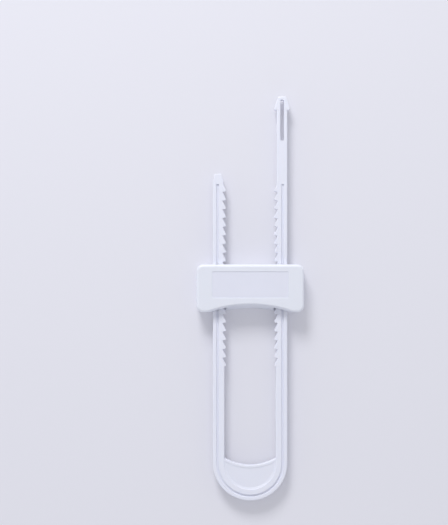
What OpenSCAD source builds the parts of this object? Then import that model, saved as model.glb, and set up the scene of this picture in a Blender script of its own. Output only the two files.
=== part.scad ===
// Cabinet safety lock: a U-shaped bar with toothed legs, and the lock block that slides on them.
// The lock lies on its back. X runs across the legs, Y along them towards their free ends,
// and +Z is the front. The origin is under the middle of the part, on the surface it lies on.
// All lengths are in millimetres.

/* [Bar] */
// Length from the closed end to the tip of the long leg
bar_l = 235; // [222:1:250]
// Length from the closed end to the tip of the short leg
short_leg_l = 190; // [188:1:197]
// Gap between the two legs
leg_gap = 30; // [28:0.5:36]
// Width of a leg below its teeth
leg_w = 6.6; // [6.2:0.1:7.6]
// Width of a leg above its teeth
upper_leg_w = 6; // [5.6:0.1:6.4]
// Thickness of the bar
bar_t = 6; // [4.5:0.1:8]
// Radius on the long edges of the bar
bar_edge_r = 0.5; // [0.2:0.1:0.8]
// Width of the rail outside the groove
outer_rail_w = 2; // [1.5:0.1:2.4]
// Width of the groove that runs round the bar
groove_w = 1.4; // [0.8:0.1:1.8]
// Depth of the groove in each face
groove_d = 0.8; // [0.3:0.1:1.5]

/* [Web] */
// Height of the web above the closed end, in the middle
web_h = 20.5; // [16:0.5:26]
// Radius of the web's hollow upper edge
web_edge_r = 29.5; // [24:0.5:50]
// Width of the rim round the web
web_rim_w = 1.6; // [0.8:0.1:3]
// How far the rim lies below the faces of the bar
web_rim_drop = 0.6; // [0.3:0.1:0.7]
// How far the middle of the web lies below the faces of the bar
web_field_drop = 0.9; // [0.8:0.1:2]

/* [Teeth] */
// Height of the lowest tooth above the closed end
first_tooth_h = 78.3; // [76:0.1:84]
// Pitch of the teeth
tooth_pitch = 5.08; // [4.8:0.02:5.2]
// Number of teeth on each leg
tooth_count = 21; // [12:1:21]
// How far a tooth stands out from the leg's inner face
tooth_proud = 0.9; // [0.6:0.1:1.2]
// How far the notches between the teeth cut into the leg
notch_d = 1.1; // [0.7:0.1:1.3]
// Length of a tooth's flat tip
tooth_tip_l = 0.6; // [0.3:0.1:1]
// How far the locking face slopes back from its tip to the notch
tooth_back = 0.5; // [0.2:0.1:0.8]

/* [Leg ends] */
// Width across the barb on the long leg
barb_w = 9; // [8.4:0.1:10]
// Length from the tip of the long leg to the step of its barb
barb_l = 7.7; // [6:0.1:10]
// Length of the barb's straight land
barb_land_l = 0.9; // [0.4:0.1:1.5]
// How far the barb's step slopes back
barb_back = 0.3; // [0.1:0.1:0.6]
// Width of a leg's blunt tip
tip_w = 3.8; // [3:0.1:4.4]
// Width of the barb where its point begins to round off
shoulder_w = 5.2; // [4.6:0.1:6]
// Length of the long leg's rounded-off point
point_l = 0.9; // [0.5:0.1:1.5]
// Length of the short leg's tapered lead-in
lead_l = 4; // [2:0.5:6]
// Width of the slit that lets the barb squeeze together
slit_w = 2.1; // [1.4:0.1:2.6]
// Length of the slit
slit_l = 24; // [18:1:28]
// Solid left between the slit and the tip
slit_cap = 1.9; // [1.5:0.1:3]
// Solid length of leg left above the end of the groove
groove_margin = 6; // [5:0.5:9]

/* [Lock block] */
// Width of the block beyond each leg
end_w = 9.5; // [9:0.1:12]
// Height of the block at its ends, along the legs
block_h = 27.7; // [26.5:0.1:32]
// Corner radius of the block
block_corner_r = 3.8; // [3:0.1:4.5]
// Rounding of the front edges
front_edge_r = 1.6; // [1:0.1:3]
// Rounding of the back edges
back_edge_r = 0.8; // [0.4:0.1:1.2]
// Thickness of the walls round the block
wall_t = 1.8; // [1.4:0.1:2]
// Thickness of the front wall
front_t = 2.4; // [2:0.1:3]
// Thickness of the back plate
back_t = 2.2; // [2:0.1:3]
// Width of the arch in the lower edge, at the front
arch_w = 53; // [46:0.5:54]
// Rise of the arch at the front
arch_rise = 4.9; // [4:0.1:5.2]
// Rise of the arch at the back
arch_back_rise = 1.9; // [1:0.1:3]
// Width of the sunk panel on the front
panel_w = 44.3; // [30:0.1:50]
// Height of the sunk panel
panel_h = 15.3; // [10:0.1:16]
// Depth of the sunk panel
panel_d = 0.5; // [0.3:0.1:0.8]
// Distance from the block's upper edge to the panel
panel_top = 4.1; // [3.8:0.1:5]
// Corner radius of the panel
panel_r = 0.8; // [0.4:0.1:2]
// Play between the bar and the block's slots
bar_play = 0.3; // [0.2:0.05:0.4]

/* [Buttons] */
// Length of a button's pad along the block's end
button_l = 15.5; // [12:0.5:16]
// Width of a button's pad through the block
button_w = 6.5; // [5:0.1:7]
// How far a pad stands out of the block's end
button_proud = 0.4; // [0.2:0.1:1.2]
// Travel of a button
button_travel = 2; // [1.6:0.1:2.2]
// Play between a pad and its window
button_play = 0.25; // [0.15:0.05:0.4]
// How far the flange reaches past the window
flange_reach = 1.2; // [0.8:0.1:1.4]
// Thickness of the flange
flange_t = 1.6; // [1.2:0.1:1.8]
// Length of the button's arm along the legs
arm_l = 14; // [10:0.5:14.2]
// Thickness of the arm
arm_t = 2.4; // [1.8:0.1:3]
// Play between the arm and the front wall
arm_play = 0.4; // [0.3:0.05:0.6]
// Number of grip grooves in a pad
grip_count = 5; // [3:1:6]
// Pitch of the grip grooves
grip_pitch = 2.4; // [1.8:0.1:2.4]
// Radius of a grip groove
grip_r = 0.5; // [0.3:0.1:0.7]

/* [Pawls] */
// Number of the tooth that the hooks hold, counted up from 0
held_tooth = 8; // [2:1:9]
// Height of the held tooth above the block's lower corners
hook_h = 9.35; // [9.3:0.05:10.5]
// Thickness of the springy finger
finger_t = 1.2; // [0.9:0.05:1.5]
// Width of the pawl's head
head_w = 2; // [1.6:0.1:2.4]
// Gap between the head and the tips of the teeth
head_gap = 0.5; // [0.3:0.05:0.8]
// Gap between the hook and the plain face of the leg
hook_clear = 0.05; // [0.03:0.01:0.2]
// Gap between the hook and the tooth that it holds
seat_clear = 0.15; // [0.08:0.01:0.3]
// Length of the hook's tip
hook_tip_l = 0.8; // [0.5:0.1:1.2]
// Length of the hook's ramp
hook_ramp_l = 2.2; // [1.6:0.1:2.3]
// Gap between a button's arm and the pawl's peg
peg_gap = 0.3; // [0.15:0.05:0.5]
// Width of the pawl's root
root_w = 4; // [3.4:0.1:4.2]
// Length of the pawl's root
root_l = 4.5; // [3.6:0.1:4.8]
// Radius of the post that holds the root
post_r = 1; // [0.7:0.1:1.1]
// Play between the post and the root's hole
post_play = 0.05; // [0.03:0.01:0.1]

/* [Cover screws] */
// Radius of a screw's thread
screw_r = 1.45; // [1.3:0.05:1.6]
// Length of a screw
screw_l = 9.5; // [7:0.1:10]
// Radius of a screw's head
screw_head_r = 2.75; // [2.4:0.05:2.9]
// How deep the head lies below the back face
screw_sink = 0.25; // [0.1:0.05:0.4]
// Radius of the pilot hole that the thread bites into
pilot_r = 1.2; // [1.05:0.05:1.3]
// Radius of a screw boss
boss_r = 2.8; // [2.4:0.1:3]

/* [Hidden] */
$fn = 96;

plastic = "whitesmoke";
spring_plastic = "ivory";
steel = "silver";

// How far every cut runs past the surface that it opens
overrun = 1;
// How far joined solids of one moulding reach into each other
grip = 0.6;
// Play of a piece that is held still between the two covers
held_play = 0.1;
// Clearance of a piece that moves past another one inside the block
run_clear = 0.4;
// Gap between the screw's cone and its countersink
cone_clear = 0.03;
// Thickness of the ribs that guide an arm, and of the back plate's tabs
rib_t = 1.2;
// Width and height of the tabs on the back plate
tab_w = 8;
tab_h = 2.5;
// How far the holes in the back plate clear the screws
screw_hole_play = 0.15;
// Depth of the pilot holes past the screws' points
pilot_extra = 0.6;
// Length of a screw's point
screw_point_l = 1.6;
// Cross recess in the screw's head: length, width and depth
recess_l = 3;
recess_w = 0.7;
recess_d = 0.9;

// Places along the bar
end_y = -bar_l / 2;
tip_y = bar_l / 2;
short_tip_y = end_y + short_leg_l;
groove_end_y = short_tip_y - groove_margin;

// Places across the bar
inner_x = leg_gap / 2;
outer_x = inner_x + leg_w;
upper_inner_x = outer_x - upper_leg_w;
upper_mid_x = outer_x - upper_leg_w / 2;
bend_y = end_y + outer_x;

// Places through the block, from the back plate to the front wall
bar_z0 = back_t + bar_play;
bar_z1 = bar_z0 + bar_t;
arm_z0 = bar_z1 + bar_play;
arm_z1 = arm_z0 + arm_t;
front_in_z = arm_z1 + arm_play;
block_d = front_in_z + front_t;

// Web
web_edge_y = end_y + web_h + web_edge_r;
web_side_y = web_edge_y - sqrt(web_edge_r * web_edge_r - (inner_x + grip) * (inner_x + grip));

// Teeth
function tooth_y(i) = end_y + first_tooth_h + i * tooth_pitch;
tooth_tip_x = inner_x - tooth_proud;
notch_x = inner_x + notch_d;
tooth_depth = tooth_proud + notch_d;
tooth_ramp_l = tooth_pitch - tooth_back - tooth_tip_l;
teeth_y0 = tooth_y(0) - tooth_back * tooth_proud / tooth_depth;
teeth_y1 = tooth_y(tooth_count - 1) + tooth_tip_l
    + tooth_ramp_l * (upper_inner_x - tooth_tip_x) / tooth_depth;

// Lock block, set on the bar by the tooth that its hooks hold
block_w = leg_gap + 2 * leg_w + 2 * end_w;
block_y0 = tooth_y(held_tooth) - hook_h;
block_y1 = block_y0 + block_h;
block_mid_y = (block_y0 + block_y1) / 2;
cavity_x = block_w / 2 - wall_t;
cavity_y1 = block_y1 - wall_t;
arch_r = (arch_w * arch_w / 4 + arch_rise * arch_rise) / (2 * arch_rise);
arch_back_r = arch_r - (arch_rise - arch_back_rise);
arch_y = block_y0 + arch_rise - arch_r;
arch_slope = (arch_r - arch_back_r) / block_d;
function arch_r_at(z) = arch_back_r + arch_slope * z;
slot_x0 = tooth_tip_x - bar_play;
slot_x1 = outer_x + bar_play;

// Buttons
button_z = (back_t + front_in_z) / 2;
flange_x1 = cavity_x - bar_play;
flange_x0 = flange_x1 - flange_t;
flange_l = button_l + 2 * button_play + 2 * flange_reach;
pad_x = block_w / 2 + button_proud;

// Pawls
head_x1 = tooth_tip_x - head_gap;
head_x0 = head_x1 - head_w;
finger_x0 = (head_x0 + head_x1 - finger_t) / 2;
root_x1 = tooth_tip_x - bar_play;
root_x0 = root_x1 - root_w;
root_y1 = cavity_y1 - held_play;
root_y0 = root_y1 - root_l;
hook_x = inner_x - hook_clear;
function hook_face_y(x) = tooth_y(held_tooth) - seat_clear - tooth_back * (x - tooth_tip_x) / tooth_depth;
hook_y1 = hook_face_y(hook_x);
hook_y0 = hook_y1 - hook_tip_l - hook_ramp_l;
head_y0 = hook_y0 - held_play;
head_y1 = tooth_y(held_tooth) + run_clear;
arm_x = head_x1 + peg_gap;
arm_y0 = head_y0 + held_play;
arm_y1 = arm_y0 + arm_l;

// Screws, as far apart as the bent fingers leave room for
boss_x = head_x0 - button_travel - run_clear - boss_r;
boss_y = (arch_y + arch_r + wall_t + cavity_y1) / 2;
screw_head_h = screw_head_r - screw_r;
screw_top_z = screw_sink + screw_l;

// A flat rectangle with round corners, its lower left corner at the origin
module round_rect(w, h, r) {
    translate([r, 0]) square([w - 2 * r, h]);
    translate([0, r]) square([w, h - 2 * r]);
    for (x = [r, w - r]) for (y = [r, h - r]) translate([x, y]) circle(r = r);
}

// Cross-section of a leg of width w, measured in from its outer edge
module leg_section(w, grooved) {
    difference() {
        translate([outer_x - w, bar_z0]) round_rect(w, bar_t, bar_edge_r);
        if (grooved) {
            groove_x = outer_x - outer_rail_w - groove_w;
            translate([groove_x, bar_z0 - overrun]) square([groove_w, groove_d + overrun]);
            translate([groove_x, bar_z1 - groove_d]) square([groove_w, groove_d + overrun]);
        }
    }
}

// A straight stretch of the right leg
module leg_stretch(y0, y1, w, grooved = true) {
    translate([0, y1, 0]) rotate([90, 0, 0]) linear_extrude(y1 - y0) leg_section(w, grooved);
}

// The toothed strip on the right leg's inner side, as one outline
module tooth_strip() {
    base_x = notch_x + grip;
    teeth = [
        for (i = [0:tooth_count - 1]) each [
            [tooth_tip_x, tooth_y(i)],
            [tooth_tip_x, tooth_y(i) + tooth_tip_l],
            if (i < tooth_count - 1) [notch_x, tooth_y(i + 1) - tooth_back]
        ]
    ];
    ends = [[upper_inner_x, teeth_y1], [base_x, teeth_y1], [base_x, teeth_y0], [inner_x, teeth_y0]];
    translate([0, 0, bar_z0]) linear_extrude(bar_t) polygon(concat(teeth, ends));
}

// The right leg up to the place where the groove stops: a core that its notches leave whole,
// run into the leg's solid end, and what lies inward of the core
module toothed_leg() {
    leg_stretch(bend_y, groove_end_y + grip, outer_x - notch_x);
    leg_stretch(bend_y, teeth_y0, leg_w);
    leg_stretch(teeth_y1, groove_end_y, upper_leg_w);
    tooth_strip();
}

// The right leg's upper end, with the barb
module barbed_end() {
    step_y = tip_y - barb_l;
    right_side = [
        [upper_leg_w / 2, step_y - barb_back],
        [barb_w / 2, step_y],
        [barb_w / 2, step_y + barb_land_l],
        [shoulder_w / 2, tip_y - point_l],
        [tip_w / 2, tip_y]
    ];
    count = len(right_side);
    left_side = [for (i = [1:count]) [-right_side[count - i][0], right_side[count - i][1]]];
    leg_stretch(groove_end_y, step_y, upper_leg_w, false);
    translate([upper_mid_x, 0, bar_z0]) linear_extrude(bar_t) polygon(concat(right_side, left_side));
}

// The slit along the middle of the barbed end, with round ends
module barb_slit() {
    translate([upper_mid_x - slit_w / 2, tip_y - slit_cap - slit_l, bar_z0 - overrun])
        linear_extrude(bar_t + 2 * overrun) union() {
            translate([0, slit_w / 2]) square([slit_w, slit_l - slit_w]);
            for (y = [slit_w / 2, slit_l - slit_w / 2])
                translate([slit_w / 2, y]) circle(r = slit_w / 2);
        }
}

// The short leg's upper end, drawn on the right and mirrored into place
module lead_in_end() {
    taper_y = short_tip_y - lead_l;
    leg_stretch(groove_end_y, taper_y, upper_leg_w, false);
    translate([upper_mid_x, 0, bar_z0]) linear_extrude(bar_t) polygon([
        [-tip_w / 2, taper_y - grip], [tip_w / 2, taper_y - grip], [tip_w / 2, taper_y],
        [upper_leg_w / 2, taper_y], [tip_w / 2, short_tip_y], [-tip_w / 2, short_tip_y],
        [-upper_leg_w / 2, taper_y], [-tip_w / 2, taper_y]
    ]);
}

// Outline of the web, drawn in from the legs by side and from its hollow edge by top
module web_outline(side, top) {
    half_w = inner_x - side;
    difference() {
        union() {
            translate([0, bend_y]) circle(r = half_w);
            translate([-half_w, bend_y]) square([2 * half_w, web_side_y - bend_y + overrun]);
        }
        translate([0, web_edge_y]) circle(r = web_edge_r + top);
    }
}

module web_layer(drop, side, top) {
    translate([0, 0, bar_z0 + drop]) linear_extrude(bar_t - 2 * drop) web_outline(side, top);
}

// The web that fills the closed end: a rim, and a field sunk between it in both faces
module web() {
    field_t = web_field_drop - web_rim_drop;
    difference() {
        web_layer(web_rim_drop, -grip, 0);
        for (z = [bar_z0 + web_rim_drop - overrun, bar_z1 - web_field_drop])
            translate([0, 0, z])
                linear_extrude(field_t + overrun) web_outline(web_rim_w, web_rim_w);
    }
}

module u_bar() {
    color(plastic) difference() {
        union() {
            translate([0, bend_y, 0]) rotate([0, 0, 180]) rotate_extrude(angle = 180)
                leg_section(leg_w, true);
            both_sides() toothed_leg();
            barbed_end();
            mirror([1, 0, 0]) lead_in_end();
            web();
        }
        barb_slit();
    }
}

// Both sides of the lock from one drawing of the right side
module both_sides() {
    children();
    mirror([1, 0, 0]) children();
}

// Half of a box's section, with its upper edge rounded, for the box's corner to turn
module rounded_half(half_w, h, r) {
    intersection() {
        union() {
            square([half_w, h - r]);
            square([half_w - r, h]);
            translate([half_w - r, h - r]) circle(r = r);
        }
        square([half_w, h]);
    }
}

module rounded_section(w, h, r) {
    translate([-w / 2, 0]) square([w, h - r]);
    translate([r - w / 2, 0]) square([w - 2 * r, h]);
    for (x = [r - w / 2, w / 2 - r]) translate([x, h - r]) circle(r = r);
}

// A box of width w and length l with corner radius corner, and its upper edges rounded by r
module soft_box(w, l, h, corner, r) {
    rotate([90, 0, 0]) linear_extrude(l - 2 * corner, center = true) rounded_section(w, h, r);
    rotate([90, 0, 90]) linear_extrude(w - 2 * corner, center = true) rounded_section(l, h, r);
    for (x = [corner - w / 2, w / 2 - corner]) for (y = [corner - l / 2, l / 2 - corner])
        translate([x, y, 0]) rotate_extrude() rounded_half(corner, h, r);
}

// The cone that hollows the block's lower edge, grown by extra
module arch_cone(extra) {
    translate([0, arch_y, -overrun])
        cylinder(
            h = block_d + 2 * overrun,
            r1 = arch_r_at(-overrun) + extra,
            r2 = arch_r_at(block_d + overrun) + extra,
            $fn = 240
        );
}

module cavity() {
    inner_r = block_corner_r - wall_t;
    difference() {
        translate([-cavity_x, block_y0 + wall_t, back_t - overrun])
            linear_extrude(front_in_z - back_t + overrun)
                round_rect(2 * cavity_x, block_h - 2 * wall_t, inner_r);
        arch_cone(wall_t);
    }
}

// The slot that the right leg and its teeth slide through
module leg_slot() {
    translate([slot_x0, block_y0 - overrun, back_t - overrun])
        cube([slot_x1 - slot_x0, block_h + 2 * overrun, arm_z0 - back_t + overrun]);
}

// The window for the right button
module button_window() {
    window_l = button_l + 2 * button_play;
    window_w = button_w + 2 * button_play;
    translate([cavity_x - overrun, block_mid_y - window_l / 2, button_z - window_w / 2])
        cube([wall_t + 2 * overrun, window_l, window_w]);
}

// The two ribs that guide the right button's arm
module arm_ribs() {
    rib_x0 = inner_x + run_clear;
    rib_x1 = flange_x0 - button_travel - run_clear;
    rib_z0 = arm_z0 + held_play;
    for (y = [arm_y0 - button_play - rib_t, arm_y1 + button_play])
        translate([rib_x0, y, rib_z0]) cube([rib_x1 - rib_x0, rib_t, front_in_z - rib_z0 + grip]);
}

module screw_boss() {
    translate([boss_x, boss_y, back_t]) cylinder(h = front_in_z - back_t + grip, r = boss_r);
}

module pilot_hole() {
    translate([boss_x, boss_y, back_t - overrun])
        cylinder(h = screw_top_z + pilot_extra - back_t + overrun, r = pilot_r);
}

module front_cover() {
    color(plastic) difference() {
        union() {
            difference() {
                translate([0, block_mid_y, back_t])
                    soft_box(block_w, block_h, block_d - back_t, block_corner_r, front_edge_r);
                arch_cone(0);
                cavity();
                both_sides() leg_slot();
                both_sides() button_window();
                translate([-panel_w / 2, block_y1 - panel_top - panel_h, block_d - panel_d])
                    linear_extrude(panel_d + overrun) round_rect(panel_w, panel_h, panel_r);
            }
            both_sides() arm_ribs();
            both_sides() screw_boss();
        }
        both_sides() pilot_hole();
    }
}

// A tab of the back plate that locates the front cover
module locating_tab(y) {
    translate([-tab_w / 2, y, back_t - grip]) cube([tab_w, rib_t, tab_h + grip]);
}

// The post that holds the right pawl's root
module root_post() {
    translate([(root_x0 + root_x1) / 2, (root_y0 + root_y1) / 2, back_t - grip])
        cylinder(h = bar_t + grip, r = post_r);
}

module screw_hole() {
    sink_r = screw_head_r + screw_sink + cone_clear;
    hole_r = screw_r + screw_hole_play;
    translate([boss_x, boss_y, -overrun]) cylinder(h = back_t + 2 * overrun, r = hole_r);
    translate([boss_x, boss_y, -overrun])
        cylinder(h = sink_r - hole_r + overrun, r1 = sink_r + overrun, r2 = hole_r);
}

module rear_cover() {
    color(plastic) difference() {
        union() {
            difference() {
                translate([0, block_mid_y, back_t]) mirror([0, 0, 1])
                    soft_box(block_w, block_h, back_t, block_corner_r, back_edge_r);
                arch_cone(0);
            }
            locating_tab(cavity_y1 - held_play - rib_t);
            locating_tab(arch_y + arch_r_at(back_t + tab_h) + wall_t + held_play);
            both_sides() root_post();
        }
        both_sides() screw_hole();
    }
}

// The right button: a grooved pad, a flange behind the window, and an arm over the leg
module button() {
    color(plastic) difference() {
        union() {
            translate([flange_x0, block_mid_y - button_l / 2, button_z - button_w / 2])
                cube([pad_x - flange_x0, button_l, button_w]);
            translate([flange_x0, block_mid_y - flange_l / 2, bar_z0])
                cube([flange_t, flange_l, arm_z1 - bar_z0]);
            translate([arm_x, arm_y0, arm_z0]) cube([flange_x0 + grip - arm_x, arm_l, arm_t]);
        }
        for (i = [0:grip_count - 1])
            translate([pad_x, block_mid_y + (i - (grip_count - 1) / 2) * grip_pitch, button_z - button_w])
                cylinder(h = 2 * button_w, r = grip_r, $fn = 24);
    }
}

module right_button() {
    button();
}

module left_button() {
    mirror([1, 0, 0]) button();
}

// The right pawl: a root held on a post, a springy finger, and a head with its hook and peg
module pawl() {
    root_mid_x = (root_x0 + root_x1) / 2;
    root_mid_y = (root_y0 + root_y1) / 2;
    held_z0 = back_t + held_play;
    color(spring_plastic) difference() {
        union() {
            translate([root_x0, root_y0, held_z0])
                cube([root_w, root_l, front_in_z - held_play - held_z0]);
            translate([finger_x0, head_y1 - grip, bar_z0])
                cube([finger_t, root_y0 - head_y1 + 2 * grip, bar_t]);
            translate([head_x0, head_y0, bar_z0]) cube([head_w, head_y1 - head_y0, arm_z1 - bar_z0]);
            translate([0, 0, bar_z0]) linear_extrude(bar_t) polygon([
                [head_x1 - grip, hook_face_y(head_x1 - grip)],
                [hook_x, hook_y1],
                [hook_x, hook_y1 - hook_tip_l],
                [head_x1, hook_y0],
                [head_x1 - grip, hook_y0]
            ]);
        }
        translate([root_mid_x, root_mid_y, back_t - overrun])
            cylinder(h = bar_t + 2 * overrun, r = post_r + post_play);
    }
}

module right_pawl() {
    pawl();
}

module left_pawl() {
    mirror([1, 0, 0]) pawl();
}

// One countersunk self-tapping screw, driven in from the back
module cover_screw() {
    translate([boss_x, boss_y, screw_sink]) difference() {
        union() {
            cylinder(h = screw_head_h, r1 = screw_head_r, r2 = screw_r);
            cylinder(h = screw_l - screw_point_l, r = screw_r);
            translate([0, 0, screw_l - screw_point_l])
                cylinder(h = screw_point_l, r1 = screw_r, r2 = screw_r / 4);
        }
        for (turn = [0, 90]) rotate([0, 0, turn])
            translate([-recess_l / 2, -recess_w / 2, -overrun])
                cube([recess_l, recess_w, recess_d + overrun]);
    }
}

module cover_screws() {
    color(steel) both_sides() cover_screw();
}

u_bar();
front_cover();
rear_cover();
left_button();
right_button();
left_pawl();
right_pawl();
cover_screws();
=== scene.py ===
# %% [markdown]
# # Dressing a cabinet slide lock in Blender
# The lock is a few white mouldings and two screws: a U-shaped bar with a row of teeth on each
# leg, a two-part block that slides over both legs, two squeeze buttons in the block's ends, and
# two springy pawls behind them. The engineering model gives every size and every joint. This lesson
# adds what makes it look real: soft moulded edges, plastics that aren't a flat colour, plated
# screws with a thread, and the light of the photograph.

import math

import bmesh
import bpy
import numpy as np
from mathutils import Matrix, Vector


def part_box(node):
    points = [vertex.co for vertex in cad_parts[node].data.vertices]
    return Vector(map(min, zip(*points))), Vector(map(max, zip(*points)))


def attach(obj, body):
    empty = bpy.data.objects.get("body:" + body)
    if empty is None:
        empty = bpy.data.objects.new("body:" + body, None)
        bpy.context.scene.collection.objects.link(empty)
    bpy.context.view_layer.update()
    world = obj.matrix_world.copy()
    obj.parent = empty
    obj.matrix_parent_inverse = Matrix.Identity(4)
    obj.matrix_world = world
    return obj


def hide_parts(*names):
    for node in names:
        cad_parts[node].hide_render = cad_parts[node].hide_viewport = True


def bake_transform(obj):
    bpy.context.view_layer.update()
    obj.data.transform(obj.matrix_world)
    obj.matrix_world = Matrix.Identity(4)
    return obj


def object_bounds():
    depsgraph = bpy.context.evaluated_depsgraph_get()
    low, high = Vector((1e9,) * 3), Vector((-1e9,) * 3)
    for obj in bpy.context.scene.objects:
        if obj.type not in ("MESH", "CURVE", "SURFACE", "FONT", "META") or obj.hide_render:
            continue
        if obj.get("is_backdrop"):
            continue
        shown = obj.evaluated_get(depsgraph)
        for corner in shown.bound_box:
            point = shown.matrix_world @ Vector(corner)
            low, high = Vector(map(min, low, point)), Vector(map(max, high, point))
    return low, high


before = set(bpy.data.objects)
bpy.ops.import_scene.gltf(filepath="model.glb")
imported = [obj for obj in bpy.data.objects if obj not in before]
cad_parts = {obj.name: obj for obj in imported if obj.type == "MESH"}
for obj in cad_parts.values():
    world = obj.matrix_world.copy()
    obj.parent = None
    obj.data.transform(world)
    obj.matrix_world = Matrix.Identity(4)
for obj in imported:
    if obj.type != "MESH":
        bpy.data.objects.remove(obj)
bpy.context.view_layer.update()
scene = bpy.context.scene
MM = 0.001
print("nodes:", sorted(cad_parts))

# %% [markdown]
# ## The camera first
# The lock was photographed lying flat, from straight above and from rather far away, so its two
# legs look parallel and the sides of the block hardly show. A camera could be placed by eye, but
# two measured numbers place it better: the picture takes in 305.2 mm from top to bottom at the
# front of the bar, and its middle is 15.2 mm left of the lock's axis and 20.9 mm above its centre.

# %% Camera
PICTURE_H, PICTURE_X, PICTURE_Y = 305.2, -15.2, 20.9
CAMERA_Z = 950
bar_low, bar_high = (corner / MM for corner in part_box("u_bar"))

lens = bpy.data.cameras.new("straight_down")
lens.sensor_fit = "VERTICAL"
lens.sensor_height = 36
lens.lens = lens.sensor_height * (CAMERA_Z - bar_high.z) / PICTURE_H
lens.clip_start = 0.01
camera = bpy.data.objects.new("camera", lens)
camera.location = Vector((PICTURE_X, PICTURE_Y, CAMERA_Z)) * MM
scene.collection.objects.link(camera)
scene.camera = camera
print("focal length in mm:", round(lens.lens, 1))

# %% [markdown]
# ## Colours and nodes
# A colour that is picked from a photograph is in sRGB, and Blender's sockets want linear light.
# One function turns the one into the other. A second small function adds any node with its
# settings and its links, so that each material below reads as a list of what it does.

# %% Two helpers for materials
def linear(code):
    """An sRGB hex colour as the linear values that Blender's sockets take."""
    shares = [int(code[i:i + 2], 16) / 255 for i in (0, 2, 4)]
    return [s / 12.92 if s <= 0.04045 else ((s + 0.055) / 1.055) ** 2.4 for s in shares] + [1]


def add(tree, kind, inputs=None, **settings):
    """Adds a node. inputs gives a value or another node's socket for each input it names."""
    node = tree.nodes.new(kind)
    for name, value in settings.items():
        setattr(node, name, value)
    for name, value in (inputs or {}).items():
        if isinstance(value, bpy.types.NodeSocket):
            tree.links.new(value, node.inputs[name])
        else:
            node.inputs[name].default_value = value
    return node


# %% [markdown]
# ## Light
# The block throws a shadow about 7 mm long down the legs, and the legs a thin one to their right.
# So the main light stands beyond the top of the picture, a little to the left, about 40 degrees up.
# The shadow's soft end gives the light's width. All the block's rounded edges carry a pale line,
# the lower one too, which tells of white walls all round and of a weak second light from below. A
# world that is brighter at the horizon than overhead makes those walls. Together they give a flat
# surface that faces up about the brightness of its own colour.

# %% White room
HORIZON, OVERHEAD = 1.05, 0.38
world = bpy.data.worlds.new("white_room")
scene.world = world
world.use_nodes = True
room = world.node_tree
background = room.nodes["Background"]
background.inputs["Color"].default_value = linear("FAFBFF")
direction = add(room, "ShaderNodeTexCoord").outputs["Generated"]
upward = add(room, "ShaderNodeSeparateXYZ", {"Vector": direction}).outputs["Z"]
walls = add(room, "ShaderNodeMapRange",
            {"Value": upward, "To Min": HORIZON, "To Max": OVERHEAD})
room.links.new(walls.outputs["Result"], background.inputs["Strength"])
print("world:", HORIZON, "at the horizon,", OVERHEAD, "overhead")


# %% Two soft lights
def soft_light(name, size, watts, place):
    """A square area light, size in metres, that looks at the lock."""
    lamp = bpy.data.lights.new(name, "AREA")
    lamp.shape = "SQUARE"
    lamp.size = size
    lamp.energy = watts
    holder = bpy.data.objects.new(name, lamp)
    holder.location = place
    holder.rotation_euler = (-Vector(place)).to_track_quat("-Z", "Y").to_euler()
    scene.collection.objects.link(holder)
    print(name, watts, "W at", place)


soft_light("window", 0.45, 11.4, (-0.28, 1.03, 0.85))
soft_light("reflector", 0.9, 1.3, (0.2, -1.1, 0.5))
scene.view_settings.view_transform = "Standard"

# %% [markdown]
# ## Floor
# The lock lies on a pale matt sheet, a little darker than the plastic, so that the white lock
# reads against it. Its shadows are meant to be paler than those on the lock itself, so the sheet
# carries painted light: a share of emission that glows though the sheet is no lamp. Light Path
# keeps it to what the camera and reflections see, so it lifts the sheet's shadows without lighting
# the lock. The sheet is marked as stage, because it isn't part of the lock.

# %% Sheet with a painted glow that lifts its shadows
SHEET, PAINTED_GLOW, SHEET_SIZE, SHEET_DOWN = linear("E1E1EA"), 0.2, 6000, 0.05
paper = bpy.data.materials.new("matt_paper")
paper.use_nodes = True
sheet = paper.node_tree
matt = sheet.nodes["Principled BSDF"]
matt.inputs["Base Color"].default_value = SHEET
matt.inputs["Roughness"].default_value = 0.95
# Painted light: the camera and reflections see this emission, which makes the sheet's shadows
# paler.
glow = add(sheet, "ShaderNodeEmission", {"Color": SHEET})
ray = add(sheet, "ShaderNodeLightPath").outputs
seen = add(sheet, "ShaderNodeMath", {0: ray["Is Camera Ray"], 1: ray["Is Glossy Ray"]},
           operation="MAXIMUM")
part = add(sheet, "ShaderNodeMath", {0: seen.outputs[0], 1: PAINTED_GLOW}, operation="MULTIPLY")
both = add(sheet, "ShaderNodeMixShader",
           {0: part.outputs[0], 1: matt.outputs[0], 2: glow.outputs[0]})
sheet.links.new(both.outputs[0], sheet.nodes["Material Output"].inputs["Surface"])
bpy.ops.mesh.primitive_plane_add(size=SHEET_SIZE * MM, location=(0, 0, -SHEET_DOWN * MM))
floor = bpy.context.object
floor.name = "floor"
floor.data.materials.append(paper)
floor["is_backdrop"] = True
print("floor", SHEET_DOWN, "mm below the lock, share of glow", PAINTED_GLOW)

# %% [markdown]
# ## The white plastics
# All the white parts are injection moulded, but not from one plastic. The bar has to flex at its
# barb, so it is polypropylene, which is a little waxy: light goes about a millimetre into it, and
# its surface has a soft satin shine. The block and the buttons are ABS, which is harder, more
# opaque and a little bluer. A mould is spark-eroded to a fine, even grain, and the plastic cools
# unevenly behind thick places. So each material has three patterns in real sizes: a fine grain for
# the bump, patches of a few millimetres for the shine, and a very faint cloud for the colour.

# %% Moulded plastic
CLOUD, PATCH, LIGHT_REACH = 14, 3, 0.8


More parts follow.
